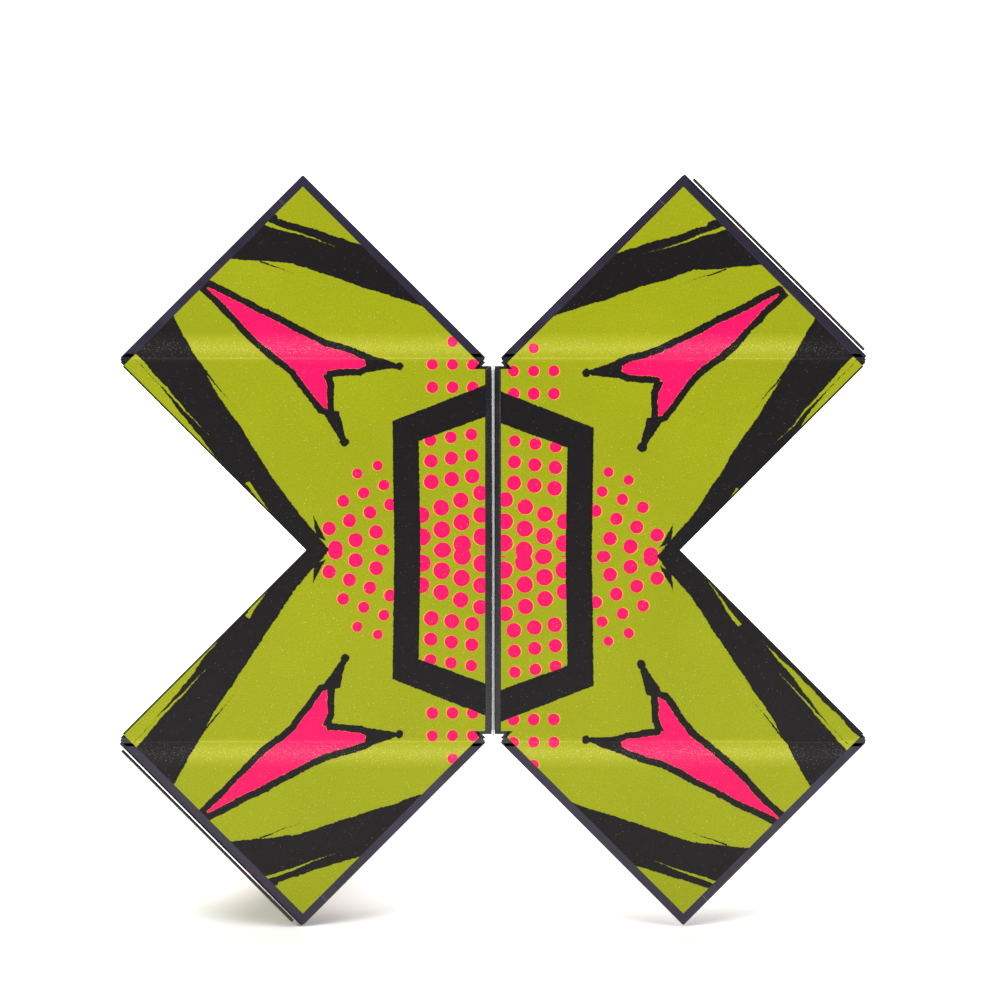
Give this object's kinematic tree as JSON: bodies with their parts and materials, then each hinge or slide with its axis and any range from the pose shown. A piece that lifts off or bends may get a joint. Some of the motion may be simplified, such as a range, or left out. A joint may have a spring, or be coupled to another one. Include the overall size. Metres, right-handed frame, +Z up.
{
  "type": "folding magnetic cube",
  "caption": "Folding magnetic desk sculpture of film-hinged hollow tetrahedra with printed faces, opened out into a standing X.",
  "frame": {"origin": "on the floor, under the middle of the object's box", "axes": "+X to the right of the X, +Z up, the printed front faces -Y"},
  "size_m": [0.1616, 0.057, 0.1625],
  "materials": {
    "moulding": "satin moulded plastic",
    "magnet": "nickel plate",
    "dark_film": "satin printed film, plum black",
    "printed_film": "fine textured printed film, lime, black and pink"
  },
  "bodies": {
    "centre_left": {"centre_left_shell": "moulding", "centre_left_lid": "moulding", "centre_left_magnets": "magnet", "centre_left_wrap": "dark_film", "centre_left_face": "printed_film"},
    "centre_right": {"centre_right_shell": "moulding", "centre_right_lid": "moulding", "centre_right_magnets": "magnet", "centre_right_wrap": "dark_film", "centre_right_face": "printed_film"},
    "upper_left_arm": {"upper_left_arm_shell": "moulding", "upper_left_arm_lid": "moulding", "upper_left_arm_magnets": "magnet", "upper_left_arm_wrap": "dark_film", "upper_left_arm_face": "printed_film"},
    "upper_left_tip": {"upper_left_tip_shell": "moulding", "upper_left_tip_lid": "moulding", "upper_left_tip_magnets": "magnet", "upper_left_tip_wrap": "dark_film", "upper_left_tip_face": "printed_film"},
    "lower_left_arm": {"lower_left_arm_shell": "moulding", "lower_left_arm_lid": "moulding", "lower_left_arm_magnets": "magnet", "lower_left_arm_wrap": "dark_film", "lower_left_arm_face": "printed_film"},
    "lower_left_tip": {"lower_left_tip_shell": "moulding", "lower_left_tip_lid": "moulding", "lower_left_tip_magnets": "magnet", "lower_left_tip_wrap": "dark_film", "lower_left_tip_face": "printed_film"},
    "upper_right_arm": {"upper_right_arm_shell": "moulding", "upper_right_arm_lid": "moulding", "upper_right_arm_magnets": "magnet", "upper_right_arm_wrap": "dark_film", "upper_right_arm_face": "printed_film"},
    "upper_right_tip": {"upper_right_tip_shell": "moulding", "upper_right_tip_lid": "moulding", "upper_right_tip_magnets": "magnet", "upper_right_tip_wrap": "dark_film", "upper_right_tip_face": "printed_film"},
    "lower_right_arm": {"lower_right_arm_shell": "moulding", "lower_right_arm_lid": "moulding", "lower_right_arm_magnets": "magnet", "lower_right_arm_wrap": "dark_film", "lower_right_arm_face": "printed_film"},
    "lower_right_tip": {"lower_right_tip_shell": "moulding", "lower_right_tip_lid": "moulding", "lower_right_tip_magnets": "magnet", "lower_right_tip_wrap": "dark_film", "lower_right_tip_face": "printed_film"},
    "lower_flap": {"lower_flap_shell": "moulding", "lower_flap_lid": "moulding", "lower_flap_magnets": "magnet", "lower_flap_wrap": "dark_film", "lower_flap_face": "printed_film"},
    "upper_flap": {"upper_flap_shell": "moulding", "upper_flap_lid": "moulding", "upper_flap_magnets": "magnet", "upper_flap_wrap": "dark_film", "upper_flap_face": "printed_film"}
  },
  "joints": [
    {"name": "spine_fold", "type": "hinge", "parent": "centre_left", "child": "centre_right", "pos_m": [0, -0.02831, 0.08124], "axis": [0, 0, -1], "range_deg": [0, 180]},
    {"name": "upper_left_arm_fold", "type": "hinge", "parent": "centre_left", "child": "upper_left_arm", "pos_m": [-0.02051, -0.02811, 0.10174], "axis": [0.7071, 0, 0.7071], "range_deg": [-90, 90]},
    {"name": "upper_left_tip_fold", "type": "hinge", "parent": "upper_left_arm", "child": "upper_left_tip", "pos_m": [-0.04101, -0.02811, 0.12225], "axis": [1, 0, 0], "range_deg": [0, 180]},
    {"name": "lower_left_arm_fold", "type": "hinge", "parent": "centre_left", "child": "lower_left_arm", "pos_m": [-0.02051, -0.02811, 0.06073], "axis": [-0.7071, 0, 0.7071], "range_deg": [-90, 90]},
    {"name": "lower_left_tip_fold", "type": "hinge", "parent": "lower_left_arm", "child": "lower_left_tip", "pos_m": [-0.04101, -0.02811, 0.04023], "axis": [-1, 0, 0], "range_deg": [0, 180]},
    {"name": "upper_right_arm_fold", "type": "hinge", "parent": "centre_right", "child": "upper_right_arm", "pos_m": [0.02051, -0.02811, 0.10174], "axis": [0.7071, 0, -0.7071], "range_deg": [-90, 90]},
    {"name": "upper_right_tip_fold", "type": "hinge", "parent": "upper_right_arm", "child": "upper_right_tip", "pos_m": [0.04101, -0.02811, 0.12225], "axis": [1, 0, 0], "range_deg": [0, 180]},
    {"name": "lower_right_arm_fold", "type": "hinge", "parent": "centre_right", "child": "lower_right_arm", "pos_m": [0.02051, -0.02811, 0.06073], "axis": [-0.7071, 0, -0.7071], "range_deg": [-90, 90]},
    {"name": "lower_right_tip_fold", "type": "hinge", "parent": "lower_right_arm", "child": "lower_right_tip", "pos_m": [0.04101, -0.02811, 0.04023], "axis": [-1, 0, 0], "range_deg": [0, 180]},
    {"name": "lower_flap_fold", "type": "hinge", "parent": "lower_left_tip", "child": "lower_flap", "pos_m": [-0.06152, -0.02811, 0.01972], "axis": [-0.7071, 0, 0.7071], "range_deg": [0, 180]},
    {"name": "upper_flap_fold", "type": "hinge", "parent": "upper_right_tip", "child": "upper_flap", "pos_m": [0.06152, -0.02811, 0.14276], "axis": [0.7071, 0, -0.7071], "range_deg": [0, 180]}
  ]
}
